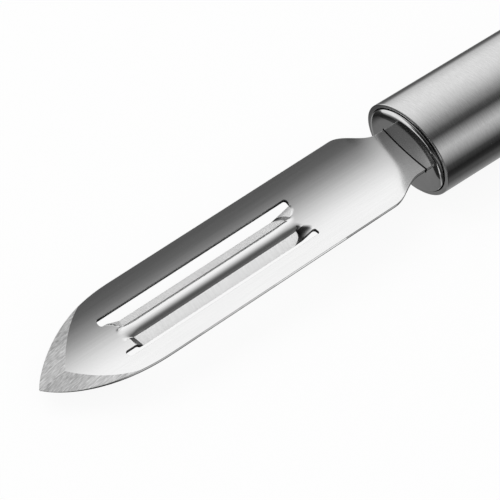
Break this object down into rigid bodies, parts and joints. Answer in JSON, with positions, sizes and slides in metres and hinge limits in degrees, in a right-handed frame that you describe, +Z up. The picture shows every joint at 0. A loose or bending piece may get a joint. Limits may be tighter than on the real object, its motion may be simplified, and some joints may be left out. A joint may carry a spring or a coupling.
{
  "type": "vegetable peeler",
  "caption": "Fixed-blade vegetable peeler: dished pointed blade with a slotted cutting strip, set in a polished cap on a hollow oval brushed-steel handle with a hanging hole.",
  "frame": {"origin": "on the surface the peeler lies on, under the middle of its overall box", "axes": "+X along the tool from the blade tip to the handle end, +Y across the blade, +Z up, out of the dished side of the blade"},
  "size_m": [0.1878, 0.0208, 0.0149],
  "materials": {
    "blade_steel": "polished, with satin ground facets",
    "polished_cap": "mirror polished",
    "brushed_shell": "fine satin brushed",
    "clamp_polymer": "moulded",
    "pin_steel": "turned"
  },
  "bodies": {
    "root": {"blade": "blade_steel", "front_cap": "polished_cap", "handle_shell": "brushed_shell", "clamp_top": "clamp_polymer", "clamp_bottom": "clamp_polymer", "tang_pin": "pin_steel", "rear_cap": "polished_cap"}
  },
  "joints": []
}
